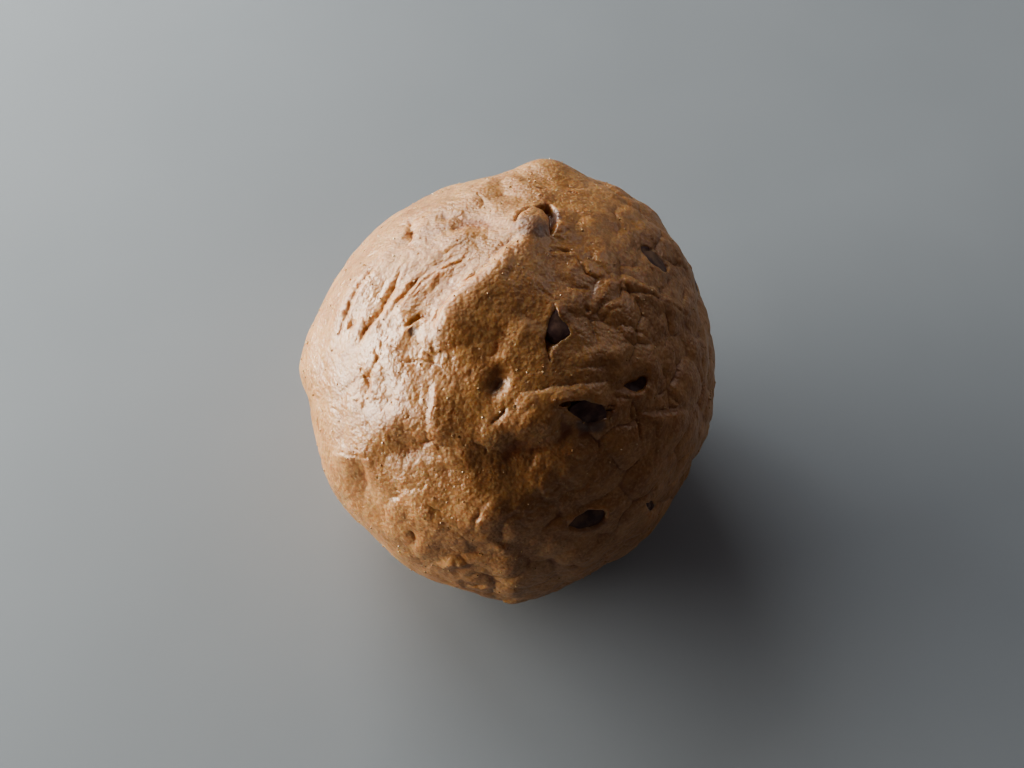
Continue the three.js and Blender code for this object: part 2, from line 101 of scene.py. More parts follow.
# Folds: (route along the crest, rise, width of the slope in front, width of the slope behind, depth of the
# tuck at the foot of the front). The front is on the left of the route.
FOLDS = [
    # the flap over the left and the top
    ([(-16.6, 6.5), (-16, 13), (-13.2, 19), (-8.5, 22.5), (-4, 26.3), (0.5, 31), (5, 33.6), (10, 34)],
     1.15, 3.0, 6.0, 0.3),
    # the ridge beside the middle chip
    ([(-1.2, 2.8), (0, 6), (2.6, 10.2), (6.2, 14.8)], 0.8, 3.6, 3.6, 0),
    # the roll across the middle, and the wedge under it
    ([(1, -5.6), (8, -5), (16, -3.8), (25, -3)], 0.95, 4.0, 3.0, 0),
    ([(-7.5, -12.6), (-1, -12), (6, -10.8), (13.5, -8.6)], 0.9, 4.8, 4.6, 0),
    # thin ridges left of the wedge
    ([(-17.9, -16.5), (-18.3, -7.5), (-17.4, 0.6)], 0.4, 1.2, 2.4, 0.2),
    ([(-16.8, -14), (-15.2, -9.6), (-13.2, -5.8)], 0.25, 1.3, 2.2, 0),
    # the flap at the bottom, its lower edge and the keel under it
    ([(-7.2, -36.4), (-5.8, -31.8), (-1.8, -27.6), (2, -26.1)], 0.12, 0.9, 3.0, 0.1),
    ([(-6.8, -37), (-3.5, -39), (0.2, -40.8)], 0.45, 1.4, 1.6, 0),
    ([(1.8, -53), (0.9, -47), (0.3, -41)], 1.0, 5.5, 4.0, 0),
    ([(13, -28.8), (9.6, -27.8), (8.2, -24.8), (9.2, -22), (12.4, -21.2)], 0.26, 1.1, 3.2, 0.15),
    # the parallel rolls in the upper left
    ([(-34, 10.6), (-29, 17.2), (-23, 24), (-18, 29)], 0.7, 2.0, 2.6, 0.05),
    ([(-27.2, 15.4), (-22.6, 21), (-16.5, 26.4), (-10.5, 29.4)], 0.7, 1.8, 2.8, 0.1),
    ([(-38.5, 10.2), (-35.4, 14.4), (-33.4, 18)], 0.35, 1.4, 1.8, 0.1),
    # the shoulder in the upper right
    ([(21, 21.4), (25.5, 24), (31.5, 23), (36.5, 19.4), (44, 16)], 0.55, 2.8, 2.4, 0),
    ([(10, 31.6), (15.4, 31.2), (18.2, 27.6), (21, 24)], 0.35, 3.0, 1.2, 0),
    ([(14, 21.5), (19, 22.2), (23.5, 19.6)], 0.35, 3.0, 2.6, 0),
    ([(-9, 44), (-2, 48.6), (3, 47.2), (8, 45.2), (16, 44.8)], 0.7, 3.4, 3.0, 0),
    # the lower left
    ([(-28.6, -34), (-28.9, -30.6), (-25.5, -28.2)], 0.18, 1.4, 3.4, 0.15),
    ([(-43.5, -16.6), (-38, -18.2), (-31.5, -18.8)], 0.25, 2.6, 1.1, 0),
    ([(-16.5, -45), (-13, -43.4), (-9.8, -44.6)], 0.5, 2.0, 1.6, 0.15),
    ([(-33.5, -29.5), (-33.4, -25), (-33.8, -20.2)], 0.3, 1.8, 3.0, 0.1),
    # the right side
    ([(30.4, -8), (36, -8.6), (43.5, -7.4)], 0.35, 1.0, 3.0, 0.15),
]

# Creases, pressed shut between two bulging sides: (route, depth, width).
CREASES = [
    # upper left
    ([(-25.2, 28.5), (-27.2, 23.5), (-29.8, 19.4), (-31, 16.6), (-34.2, 12.6), (-36.6, 8), (-37.3, 6)],
     0.75, 0.5),
    ([(-29.6, 31.3), (-32.6, 26.4), (-36, 21.7), (-39.4, 14.4), (-41.9, 7.8)], 0.65, 0.55),
    ([(-20.5, 26), (-22.5, 23), (-25, 20.2), (-28.5, 15.6)], 0.4, 0.42),
    ([(-37.6, 15), (-38.2, 13.4), (-40, 11.4)], 0.4, 0.5),
    ([(-23.9, 39.5), (-23.7, 35.5), (-24.6, 32.6)], 0.9, 0.55),
    ([(-8.8, 31.3), (-12.4, 28.4), (-17.4, 26), (-21, 22.6), (-23.8, 19.5)], 0.6, 0.6),
    ([(-10.4, 23.6), (-8.6, 25.8), (-7, 27.8)], 0.4, 0.35),
    ([(-7.5, 45.5), (-5.5, 42.5)], 0.3, 0.3),
    # left
    ([(-28.2, 13.4), (-25, 12.6), (-22.6, 14.6), (-19.8, 16), (-17.6, 16.6)], 0.7, 0.4),
    ([(-22.6, 11), (-20.4, 7.6), (-17.2, 5.6)], 0.32, 0.36),
    ([(-29.5, 9.2), (-26.4, 7.2), (-23.4, 6.6)], 0.45, 0.34),
    ([(-27, 4.8), (-22.5, 5.0), (-18.4, 4.4), (-15, 2.3)], 0.38, 0.38),
    ([(-32.5, 8.5), (-31.5, 6), (-33, 3)], 0.35, 0.34),
    ([(-35.8, 3.8), (-34.8, 0.9), (-34.3, -1.4), (-34.9, -2.9)], 0.5, 0.45),
    ([(-43.5, -6), (-41.5, -7.2)], 0.4, 0.34),
    ([(-33, -4), (-31, -4.5)], 0.3, 0.3),
    ([(-28, -11), (-24, -11.8), (-21, -10.6)], 0.35, 0.34),
    ([(-44, -15.2), (-38, -17.6), (-32, -18.3)], 0.3, 0.34),
    ([(-22.6, -15.4), (-19.6, -15), (-18.2, -14.4), (-17.2, -13)], 0.6, 0.42),
    ([(-18.4, -15.2), (-15, -15.6), (-11.5, -16.2)], 0.4, 0.34),
    ([(-9.2, -14.2), (-6.6, -15.2), (-4.4, -17.6)], 0.3, 0.42),
    # lower left
    ([(-28.2, -25.3), (-26.2, -26.9), (-27.8, -28.8)], 0.6, 0.36),
    ([(-20, -29), (-18, -30.4), (-16, -31)], 0.35, 0.4),
    ([(-24, -35.6), (-22.8, -37.6), (-22.5, -39.5)], 0.5, 0.6),
    ([(-8.5, -49.2), (-5.5, -48.8)], 0.6, 0.45),
    ([(-8.4, -36.2), (-8, -33), (-6.6, -30.9)], 0.6, 0.36),
    # middle
    ([(0.6, -2.4), (6, -1.9), (12, -1), (18, -0.4), (24.2, 0.2), (27.5, -1)], 0.4, 0.4),
    ([(-4.8, -10.6), (-2.8, -9), (-1.2, -7.4), (-0.4, -5.6)], 0.6, 0.42),
    ([(9.1, 7), (9.8, 5.6), (10.3, 4.3)], 0.8, 0.32),
    ([(11.2, 16.2), (10.6, 18.8)], 0.5, 0.3),
    # upper right
    ([(10.2, 35.2), (12.8, 34)], 0.4, 0.34),
    ([(9.3, 31.6), (12.4, 31.4), (15.6, 31)], 0.75, 0.42),
    ([(15.7, 30.4), (18, 27.4), (20.2, 24.6)], 0.6, 0.36),
    ([(14, 23.4), (17.5, 22.6), (20.4, 22.6)], 0.45, 0.5),
    ([(26.2, 22.4), (30, 21.8), (35.2, 20.6), (37.2, 18.2)], 0.75, 0.55),
    ([(38, 19), (41.5, 17), (44.5, 15.3)], 0.5, 0.42),
    ([(28, 18), (25, 17.5), (22, 13)], 0.25, 0.4),
    ([(37.5, 12), (39, 11.5)], 0.3, 0.3),
    ([(45.5, 9), (47.5, 8.2)], 0.5, 0.4),
    ([(37.4, 29.6), (40, 28.8), (43, 27.2)], 0.6, 0.42),
    ([(6.3, 46.4), (8.9, 46.3)], 0.8, 0.4),
    ([(14.2, 45.7), (17, 45.6)], 0.7, 0.36),
    # right and lower right
    ([(29.6, -4.4), (31.2, -6), (31.5, -9), (31.8, -15.6)], 0.55, 0.36),
    ([(23, 13.5), (29, 13.5), (34.5, 10.5), (37.5, 7)], 0.3, 0.5),
    ([(26, 9.5), (31, 9), (35, 6)], 0.25, 0.5),
    ([(7, 22.5), (12, 19), (14.5, 18.6)], 0.3, 0.5),
    ([(14, 4), (20, 3.4), (26, 4.6)], 0.3, 0.5),
    ([(35.2, -10), (35.6, -14), (35.1, -19)], 0.3, 0.4),
    ([(12, -17), (19, -19), (26, -18)], 0.25, 0.6),
    ([(33.6, -7), (37.5, -6.8), (43.2, -5.9)], 0.4, 0.34),
    ([(44.5, -7), (45.7, -9)], 0.4, 0.34),
    ([(36.2, -21.8), (43.2, -21)], 0.3, 0.34),
    ([(35.5, -27), (36, -25)], 0.4, 0.34),
    ([(33, -28.8), (34.7, -28.7), (35.3, -30.6), (34.2, -32.6), (32.6, -33.2)], 0.6, 0.34),
    # round the chips
    ([(1.6, 37.2), (2.6, 39.6), (5.2, 41.3), (7.4, 41.2)], 0.7, 0.4),
    ([(12.0, -5.7), (13.4, -5.6), (15.6, -5.1)], 0.9, 0.42),
    ([(23.4, -6.2), (24.8, -5.9), (26.4, -6.3)], 0.9, 0.42),
    ([(10.2, 35.8), (12.8, 35.4), (15.4, 36.6)], 0.35, 0.34),
]

# Pits: (place, (length, width, turn in degrees), depth).
PITS = [
    ((-2.7, -0.6), (5.6, 3.4, 62), 1.3),
    ((31, -0.4), (7.6, 3.8, 14), 1.3),
    ((-34.4, -0.7), (4.4, 2.2, 80), 0.4),
    ((-37.8, 14), (2.4, 1.6, 60), 0.3),
    ((-15.2, -21.5), (3.8, 3.2, 0), 0.45),
    ((-7.6, -20.6), (3.6, 2.4, 20), 0.25),
    ((19.2, 17.3), (1.3, 1.0, 0), 0.7),
    ((30, 39), (5.0, 3.0, 20), 0.4),
    ((-23.8, -16.6), (7.0, 3.6, 8), 0.35),
    ((-34.6, -23.5), (10, 2.8, 85), 0.35),
    ((-23.4, -37.2), (4.6, 2.6, 70), 0.4),
    ((-8.4, -48.8), (4.4, 2.6, 0), 0.7),
    ((-8.5, 38.5), (8.5, 5.5, -30), 0.7),
    ((5, -15.4), (18, 6.0, 12), 0.7),
    ((17, 23), (7.6, 3.0, -10), 0.5),
    ((-23.9, 35.5), (7.0, 2.6, 88), 0.6),
    ((-15.8, 39.8), (3.4, 2.4, 30), 0.5),
    ((-12.6, 37.4), (3.0, 2.0, 30), 0.4),
]

# Knobs: (place, (length, width, turn in degrees), rise).
KNOBS = [
    ((5.8, 38.2), (9.6, 8.8, -10), 1.5),
    ((-35.6, 23), (20, 8.6, 62), 1.0),
    ((-24.6, 15.6), (5.4, 3.6, -24), 0.8),
    ((-26.2, 10.4), (5.2, 4.4, 30), 0.5),
    ((-19.6, 11.2), (5.4, 4.0, 70), 0.6),
    ((-20.4, 6.8), (3.6, 3.0, 20), 0.25),
    ((13.6, 36.6), (4.2, 4.4, 0), 0.5),
    ((12.8, 40.8), (3.6, 2.6, -30), 0.25),
    ((-21, -41), (4.6, 3.4, 20), 0.6),
    ((-12.6, -43.9), (5.0, 3.2, 0), 0.6),
    ((3.6, -29.6), (4.0, 3.4, 10), 0.5),
    ((31.4, -3.6), (3.4, 1.8, 8), 0.5),
    ((35.2, -3.4), (3.0, 2.2, 0), 0.45),
    ((-28.6, -9), (7.0, 4.4, 10), 0.5),
    ((-19.5, -32.6), (9.0, 5.0, -40), 0.6),
    ((-30.4, -13.4), (6.0, 4.0, -10), 0.4),
    ((-13, 34), (8.0, 4.6, 40), 0.5),
    ((16, 18), (9, 6, 0), 0.4),
    ((24, 7), (14, 9, 0), 0.35),
]

# What shows of each chip on the face: the outline that the dough leaves open, how deep the dough stands
# back in it, how far under the skin the chip stays, and how much of the chip is smeared with dough.
SHOWING = {
    "chip_top": ([(7.0, 42.0), (8.8, 42.5), (10.8, 41.6), (11.5, 39.2), (11.2, 36.4), (10.4, 35.4),
                  (10.2, 37.2), (9.8, 39.4), (8.6, 41.0)], 2.2, 0.3, 0.5),
    "chip_right_shoulder": ([(32.0, 31.6), (32.8, 32.8), (34.8, 31.2), (38.2, 27.6), (37.6, 26.6),
                             (34.4, 28.6)], 0.7, 0.1, 0.38),
    "chip_middle": ([(11.2, 17.0), (12.0, 16.0), (13.3, 14.4), (14.4, 11.4), (12.6, 10.0), (10.6, 8.5),
                     (9.2, 6.8), (9.0, 9.6), (9.8, 13.4)], 1.7, 0.15, 0.25),
    "chip_in_pit": ([(-1.8, 0.4), (-1.4, -0.2), (-2.0, -1.4), (-3.0, -2.0), (-3.3, -1.4), (-2.6, -0.1)],
                    0.6, 0.4, 0.5),
    "chip_right_hole": ([(28.0, -0.9), (30.2, 0.4), (32.4, 1.2), (33.6, 0.2), (32.6, -1.6), (30, -1.9)],
                        1.3, 0.7, 0.2),
    "chip_under_roll": ([(13.0, -5.7), (15, -5.0), (18, -4.9), (21, -5.4), (24, -6.4), (25.6, -6.7),
                         (24.2, -7.8), (22.4, -9.2), (19.6, -9.9), (17.2, -9.0), (15.2, -7.2)],
                        1.4, 0.2, 0.25),
    "chip_low_right": ([(14.6, -34.9), (17.2, -32.1), (20.6, -31.0), (23.6, -31.7), (22.4, -34.2),
                        (18.8, -35.7)], 1.5, 0.6, 0.3),
    "chip_rim_right": ([(33.2, -29.2), (34.6, -28.9), (35.2, -30.4), (34.2, -31.2), (33.6, -30.4)],
                       1.0, 0.3, 0.3),
    "chip_left_tip": ([(-23.3, 12.3), (-22.9, 12.3), (-22.6, 11.6), (-23.0, 11.5)], 0.3, 0.1, 0.5),
}

# The chips that the face doesn't show: how far they stay under the skin, how much they are smeared, how deep
# their openings are, and how long and wide these are.
COVERED = 0.3
SMEARED = 0.15
BACK_DEPTH = 1.6
BACK_OPENING = ((6.5, 9.0), (3.4, 5.2))

# Where chocolate shows through thin dough or is smeared on it, and partly painted shade: darker dough in the
# pit and round the chips' openings. (place, (length, width, turn in degrees), share).
STAINS_AND_SHADE = [
    ((6.0, 38.0), (10.4, 9.2, -10), 0.55),
    # painted shade on the wall of the crevice beside the top chip
    ((10.7, 38.8), (3.4, 8.0, 0), 0.8),
    ((19.8, -10.4), (8.4, 4.4, -8), 0.75),
    ((24.8, -7.8), (4.6, 2.6, -10), 0.4),
    # the pit: chocolate, and painted shade
    ((-2.6, -1.2), (5.6, 3.6, 62), 0.5),
    ((12.4, 13.0), (8.4, 4.6, 60), 0.35),
    ((31.4, -0.4), (7.0, 3.4, 12), 0.35),
    ((19.6, -33.4), (10.0, 5.6, 14), 0.4),
    ((35.0, 29.8), (8.6, 4.6, -45), 0.35),
    ((34.4, -29.8), (3.2, 2.8, 0), 0.4),
    ((-22.9, 12), (2.8, 2.2, 70), 0.7),
]

# Stretches of fine relief on the face: (place, (length, width, turn)).
CRACKLED = [
    ((-25, 0), (30, 24, 60)),
    ((-30, -12), (26, 14, 0)),
    ((-20, 12), (16, 12, 40)),
]
LUMPY = [
    ((-21, -26), (46, 24, -40)),
    ((-10, -42), (24, 14, -10)),
    ((-20, 11), (16, 13, 50)),
    ((-8, -20), (20, 9, 0)),
]
GRAINED = [
    ((-13, 27), (30, 11, 50)),
    ((-28, 22), (26, 8, 60)),
    ((-6, 0), (14, 12, 60)),
]
GRAIN_TURN = 52  # the way its streaks run
GRAIN_STREAK = (3.6, 1.1)  # how long and how wide they are
GRAIN_HEIGHT = 0.15

# Swellings of the skin: (height, size, seed).
SWELLINGS = [(0.36, 13, 1)]
SMALL_SWELLINGS = [(0.34, 6.5, 2), (0.16, 3.2, 3)]  # where it is uneven
BUMPS = [(0.13, 4.6, 4), (0.06, 2.2, 5)]  # where it is lumpy

# Lumps that crowd each other: (size, how far their sides stray and over what distance, how many of the gaps
# are shut and over what distance that changes, depth and width of a shut gap, roundness, seeds).
BLOCKS = (8.5, (1.8, 7), (0.3, 8), (0.34, 0.6), 0.9, (50, 51, 52))
LUMPS = (4.6, (1.4, 5), (0.4, 6), (0.17, 0.42), 0.3, (10, 6, 7))
CRACKLE = (3.1, (1.1, 2.8), (0.4, 4), (0.17, 0.32), 0.1, (20, 8, 9))

# Colours: red, green and blue in linear light, and 1.
DOUGH_BROWN = (0.45, 0.202, 0.068, 1)
DOUGH_TAN = (0.58, 0.294, 0.112, 1)
DOUGH_FRECKLES = (0.37, 0.152, 0.047, 1)
DOUGH_GRAINS = (0.69, 0.43, 0.21, 1)
# painted shade: the darker, redder colour given to the dough in its creases
DOUGH_CREASE_SHADE = (0.37, 0.128, 0.035, 1)
# the chocolate stain colour, also used as painted shade in the pit and round the chips' openings
DOUGH_STAIN_AND_SHADE = (0.21, 0.116, 0.082, 1)
CHOCOLATE_DARK = (0.11, 0.055, 0.050, 1)
CHOCOLATE_PALE = (0.21, 0.115, 0.098, 1)
CHOCOLATE_FILMED = (0.30, 0.185, 0.110, 1)
SUGAR_BROWN = (0.55, 0.33, 0.16, 1)
SUGAR_PALE = (0.78, 0.58, 0.36, 1)
FLOOR_DARK = (0.318, 0.334, 0.350, 1)
FLOOR_PALE = (0.352, 0.368, 0.384, 1)

# The lights: (bearing from straight back towards the left, height, both in degrees, how wide and how tall
# the light is seen from the ball, how strongly it lights a surface that faces it, tint).
LIGHTS = {
    "window": (79, 13, 1.15, 0.46, 5.8, (0.97, 0.985, 0.94)),
    "far_window": (36, 13, 0.8, 0.28, 0.85, (0.95, 0.99, 1.0)),
    "wall_above": (30, 40, 0.55, 0.5, 0.98, (0.94, 0.99, 1.0)),
    "room": (-55, 32, 0.7, 0.5, 0.27, (0.92, 0.96, 1.0)),
}
LIGHT_DISTANCE = 1.2
ROOM_GLOW = 0.08
ROOM_TINT = (0.98, 0.88, 0.92, 1)


def select_only(piece):
    bpy.ops.object.select_all(action="DESELECT")
    piece.select_set(True)
    bpy.context.view_layer.objects.active = piece


def apply_modifier(piece, name, kind, **settings):
    """Adds a modifier with these settings and applies it."""
    made = piece.modifiers.new(name, kind)
    for key, value in settings.items():
        setattr(made, key, value)
    select_only(piece)
    bpy.ops.object.modifier_apply(modifier=made.name)


def copy_node(node, name):
    """A piece that starts as a merged copy of a CAD node."""
    piece = bpy.data.objects.new(name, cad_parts[node].data.copy())
    bpy.context.collection.objects.link(piece)
    piece.data.materials.clear()
    select_only(piece)
    bpy.ops.object.mode_set(mode="EDIT")
    bpy.ops.mesh.select_all(action="SELECT")
    bpy.ops.mesh.remove_doubles(threshold=0.004 * MM)
    bpy.ops.object.mode_set(mode="OBJECT")
    return piece


def middle_of(node):
    low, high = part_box(node)
    return (low + high) / 2


def points_of(piece):
    """A piece's vertices in millimetres."""
    flat = np.empty(3 * len(piece.data.vertices), np.float32)
    piece.data.vertices.foreach_get("co", flat)
    return flat.reshape(-1, 3).astype(float) / MM


def normals_of(piece):
    flat = np.empty(3 * len(piece.data.vertices), np.float32)
    piece.data.vertex_normals.foreach_get("vector", flat)
    return flat.reshape(-1, 3).astype(float)


def move_points(piece, points):
    piece.data.vertices.foreach_set("co", (points * MM).astype(np.float32).ravel())
    piece.data.update()


def tree_of(piece):
    return BVHTree.FromObject(piece, bpy.context.evaluated_depsgraph_get())


def smooth_step(x):
    x = np.clip(x, 0, 1)
    return x * x * (3 - 2 * x)


def bell(x):
    return np.exp(-x * x)


def tapered(run, share):
    """1 along a line, and less towards its ends over a share of it."""
    return smooth_step(run / share) * smooth_step((1 - run) / share)


def turned(x, y, degrees):
    """Places along and beside a direction at this angle."""
    c, s = math.cos(math.radians(degrees)), math.sin(math.radians(degrees))
    return x * c + y * s, y * c - x * s


def rounded(points, closed=False):
    """A smooth line through some points, with points of its own between them."""
    points = np.array(points, float)
    count = len(points)
    spans = count if closed else count - 1
    fetch = (lambda i: points[i % count]) if closed else (lambda i: points[min(max(i, 0), count - 1)])
    line = []
    for i in range(spans):
        a, b, c, d = (fetch(i + k) for k in (-1, 0, 1, 2))
        pieces = max(2, int(np.linalg.norm(c - b) / LINE_STEP))
        for t in np.arange(pieces) / pieces:
            line.append(0.5 * (2 * b + (c - a) * t + (2 * a - 5 * b + 4 * c - d) * t**2
                               + (3 * b - a - 3 * c + d) * t**3))
    if not closed:
        line.append(points[-1])
    return np.array(line)


LATTICE = 64
SCATTER = np.random.default_rng(7).random((LATTICE, LATTICE, LATTICE, 3), np.float32)


def scattered(cells, seed):
    """Three repeatable numbers from 0 to 1 for each cell of a lattice."""
    return SCATTER[tuple((cells.astype(int) + 13 * seed).T % LATTICE)]


def cloud(points, size, seed=0):
    """Smooth uneven values, mostly between -1 and 1, with features of a size."""
    home = np.floor(points / size)
    off = points / size - home
    fade = off**3 * (off * (off * 6 - 15) + 10)
    ends = (1 - fade, fade)
    total = np.zeros(len(points))
    for i, j, k in itertools.product((0, 1), repeat=3):
        slope = 2 * scattered(home + (i, j, k), seed) - 1
        share = ends[i][:, 0] * ends[j][:, 1] * ends[k][:, 2]
        total += share * np.einsum("ij,ij->i", slope, off - (i, j, k))
    return 1.8 * total


def drift(points, size, seed=0):
    """Three such values for each point, to move it by."""
    return np.stack([cloud(points, size, seed + k) for k in range(3)], 1)


def lumps(points, size, seed=0):
    """Lumps of a size: how far each point is from its lump's middle and from the gap beside it, in sizes."""
    places = points / size
    home = np.floor(places)
    first = np.full(len(points), 9.0)
    second = first.copy()
    for step in itertools.product((-1, 0, 1), repeat=3):
        cell = home + step
        far = np.linalg.norm(cell + scattered(cell, seed) - places, axis=1)
        second = np.minimum(second, np.maximum(first, far))
        first = np.minimum(first, far)
    return first, second - first


class Skin:
    """The dough's surface while it is worked: every feature adds to how far its points rise."""

    WANDER = ((0.32, 2.4), (0.14, 0.9))  # how far features stray from their lines, over what distance

    # A crease, in shares of its width and depth: how wide its cut is, how far its banks are from it, and how
    # wide and high they are. Then how much of its length each end takes.
    CUT, BANK_AT, BANK_WIDTH, BANK_HEIGHT = 0.55, 2.6, 1.4, 0.16
    CREASE_END = 0.3

    # A fold: how sharply it falls off behind, how wide the tuck at its foot is, and how long its ends are.
    FALL = 1.6
    TUCK_WIDTH = 0.3
    FOLD_END = 0.22

    # The edge of an opening: how high its lip is, how far outside and how wide. Then where its wall starts
    # outside and how wide it is.
    LIP_HEIGHT, LIP_AT, LIP_WIDTH = 0.05, 0.9, 0.6
    WALL_START, WALL_WIDTH = 0.45, 1.2

    def __init__(self, piece):
        self.piece = piece
        self.points = points_of(piece)
        self.normals = normals_of(piece)
        self.rise = np.zeros(len(self.points))
        self.tree = tree_of(piece)
        self.felt = self.points + sum(far * drift(self.points, size) for far, size in self.WANDER)
        from_middle = self.points - np.array(CENTRE) / MM
        self.facing = from_middle @ np.array(OUT)
        nearer = 1 / (1 - self.facing / (VIEW_DISTANCE / MM))
        self.across = from_middle @ np.array(ACROSS) * nearer
        self.up = from_middle @ np.array(UP) * nearer

    def spot(self, across, up):
        """The point of the skin that shows at a place on the face."""
        for inward in np.arange(1, 0.9, -0.01):
            aim = CENTRE + (ACROSS * across + UP * up) * MM * inward
            hit = self.tree.ray_cast(EYE, (aim - EYE).normalized())[0]
            if hit is not None:
                return np.array(hit) / MM
        raise ValueError(f"nothing shows at {across}, {up}")

    def outermost(self, outward):
        """The point of the skin in a direction from the ball's middle."""
        hit = self.tree.ray_cast(CENTRE + outward * BALL_REACH, -outward)[0]
        return np.array(hit) / MM

    def face_line(self, route, closed=False):
        return rounded([self.spot(*place) for place in route], closed)

    def near(self, line, reach):
        """The points within reach of a line: which, how far, to which side, and how far along from 0 to 1."""
        low, high = line.min(0) - reach, line.max(0) + reach
        which = np.flatnonzero(np.all((self.felt > low) & (self.felt < high), axis=1))
        felt = self.felt[which]
        distance = np.full(len(which), np.inf)
        side = np.ones(len(which))
        run = np.zeros(len(which))
        for i in range(len(line) - 1):
            span = line[i + 1] - line[i]
            share = np.clip((felt - line[i]) @ span / (span @ span), 0, 1)
            off = felt - line[i] - share[:, None] * span
            far = np.linalg.norm(off, axis=1)
            better = far < distance
            distance[better] = far[better]
            right = np.cross(span, self.normals[which])
            side[better] = np.sign(np.einsum("ij,ij->i", off, right))[better]
            run[better] = ((i + share) / (len(line) - 1))[better]
        close = distance < reach
        return which[close], distance[close], side[close], run[close]

    def crease(self, line, depth, width):
        """Two bulging sides that meet in a sharp line."""
        which, distance, _, run = self.near(line, 6 * width)
        cut = np.exp(-distance / (self.CUT * width))
        bank = self.BANK_HEIGHT * bell((distance / width - self.BANK_AT) / self.BANK_WIDTH)
        self.rise[which] += depth * tapered(run, self.CREASE_END) * (bank - cut)

    def fold(self, line, rise, front, back, tuck):
        """A fold of dough: it climbs over its front to the crest, and falls off slowly behind it."""
        which, distance, side, run = self.near(line, max(front + 1.5, 2.4 * back))
        away = side * distance
        climb = smooth_step(1 + away / front)
        fall = np.exp(-np.maximum(away / back, 0) ** self.FALL)
        foot = tuck * np.exp(-np.abs(away + front) / self.TUCK_WIDTH)
        height = rise * np.where(away < 0, climb, fall) - foot
        self.rise[which] += tapered(run, self.FOLD_END) * height

    def flat_places(self, middle, reach):
        """The points near a spot, with their places in the plane that touches the skin there."""
        which = np.flatnonzero(np.linalg.norm(self.felt - middle, axis=1) < reach)
        outward = middle - np.array(CENTRE) / MM
        outward /= np.linalg.norm(outward)
        across = np.cross(np.array(UP), outward)
        across /= np.linalg.norm(across)
        up = np.cross(outward, across)
        off = self.felt[which] - middle
        return which, off @ across, off @ up, (across, up)

    def dent(self, place, size, depth):
        """A round-edged oval hollow, or a knob where the depth is negative."""
        length, width, turn = size
        which, x, y, _ = self.flat_places(self.spot(*place), 1.5 * max(length, width))
        along, aside = turned(x, y, turn)
        far = np.hypot(along / (length / 2), aside / (width / 2))
        self.rise[which] -= depth * np.exp(-0.8 * far**2.6)

    def share_in(self, stretches):
        """How far each point lies within some stretches of the face, from 0 to 1."""
        share = np.zeros(len(self.points))
        ragged = 0.25 * cloud(self.points, 5, 90)
        for (across, up), (length, width, turn) in stretches:
            along, aside = turned(self.across - across, self.up - up, turn)
            far = np.hypot(along / (length / 2), aside / (width / 2)) + ragged
            share = np.maximum(share, smooth_step(1.6 - 1.2 * far))
        return share * (self.facing > 0)

    def open_at(self, edge, depth):
        """A hole in the skin with this edge, a soft lip and a steep wall."""
        middle = edge.mean(0)
        reach = np.linalg.norm(edge - middle, axis=1).max() + 4
        which, x, y, (across, up) = self.flat_places(middle, reach)
        corners = np.stack([(edge - middle) @ across, (edge - middle) @ up], 1)
        after = np.roll(corners, -1, axis=0)
        inside = np.zeros(len(which), bool)
        far = np.full(len(which), np.inf)
        for (ax, ay), (bx, by) in zip(corners, after):
            crosses = ((ay > y) != (by > y)) & (x < (bx - ax) * (y - ay) / (by - ay + 1e-12) + ax)
            inside ^= crosses
            share = np.clip(((x - ax) * (bx - ax) + (y - ay) * (by - ay))
                            / ((bx - ax) ** 2 + (by - ay) ** 2 + 1e-12), 0, 1)
            far = np.minimum(far, np.hypot(x - ax - share * (bx - ax), y - ay - share * (by - ay)))
        inward = np.where(inside, far, -far)
        lip = self.LIP_HEIGHT * bell((inward + self.LIP_AT) / self.LIP_WIDTH)
        self.rise[which] += lip - depth * smooth_step((inward + self.WALL_START) / self.WALL_WIDTH)

    def finish(self):
        """Moves the points, and keeps them above the surface that the ball lies on."""
        moved = self.points + self.normals * self.rise[:, None]
        moved[:, 2] = np.maximum(moved[:, 2], 0)
        move_points(self.piece, moved)


def swellings(points, forms):
    return sum(height * cloud(points, size, seed) for height, size, seed in forms)


def crowded(points, form):
    """How far the skin sinks towards the gaps between lumps that crowd each other."""
    size, (stray, over), (shut_share, changing), (depth, width), roundness, seeds = form
    bent = points + stray * drift(points, over, seeds[0])
    middle, gap = lumps(bent, size, seeds[1])
    shut = smooth_step(shut_share + 1.6 * cloud(points, changing, seeds[2]))
    return roundness * middle**2 + depth * shut * np.exp(-gap * size / width)


def fine_relief(skin):
    """Swellings and crowded lumps all over, and the lumps, the crackle and the grain of each stretch."""
    ROUND_THE_BACK = 24  # how far behind the ball's middle the back's relief is in full
    PAST_THE_FLAP = 28  # how far past the flap's edge the skin is at its most uneven
    points = skin.points
    behind = smooth_step(-skin.facing / ROUND_THE_BACK)
    lumpy = np.maximum(skin.share_in(LUMPY), 0.5 * behind)
    crackled = np.maximum(skin.share_in(CRACKLED), 0.35 * behind)
    grained = skin.share_in(GRAINED)
    # the skin is evener on the left of the face, as far as the flap's edge
    past_flap = 0.95 * skin.across - 0.32 * skin.up + 6
    uneven = 0.5 + 0.85 * np.maximum(smooth_step(past_flap / PAST_THE_FLAP), behind)

    skin.rise += swellings(points, SWELLINGS)
    skin.rise += uneven * swellings(points, SMALL_SWELLINGS)
    skin.rise -= uneven * crowded(points, BLOCKS)

    skin.rise += lumpy * swellings(points + 1.4 * drift(points, 5, 10), BUMPS)
    skin.rise -= (0.45 * lumpy + 0.4 * uneven) * crowded(points, LUMPS)
    skin.rise -= (0.7 * crackled + 0.2 * uneven) * crowded(points, CRACKLE)

    along, aside = turned(skin.across, skin.up, GRAIN_TURN)
    length, width = GRAIN_STREAK
    streaks = np.stack([along / length, aside / width, skin.facing / width], 1) + 0.5 * drift(points, 4, 22)
    skin.rise += grained * GRAIN_HEIGHT * cloud(streaks, 1, 23)


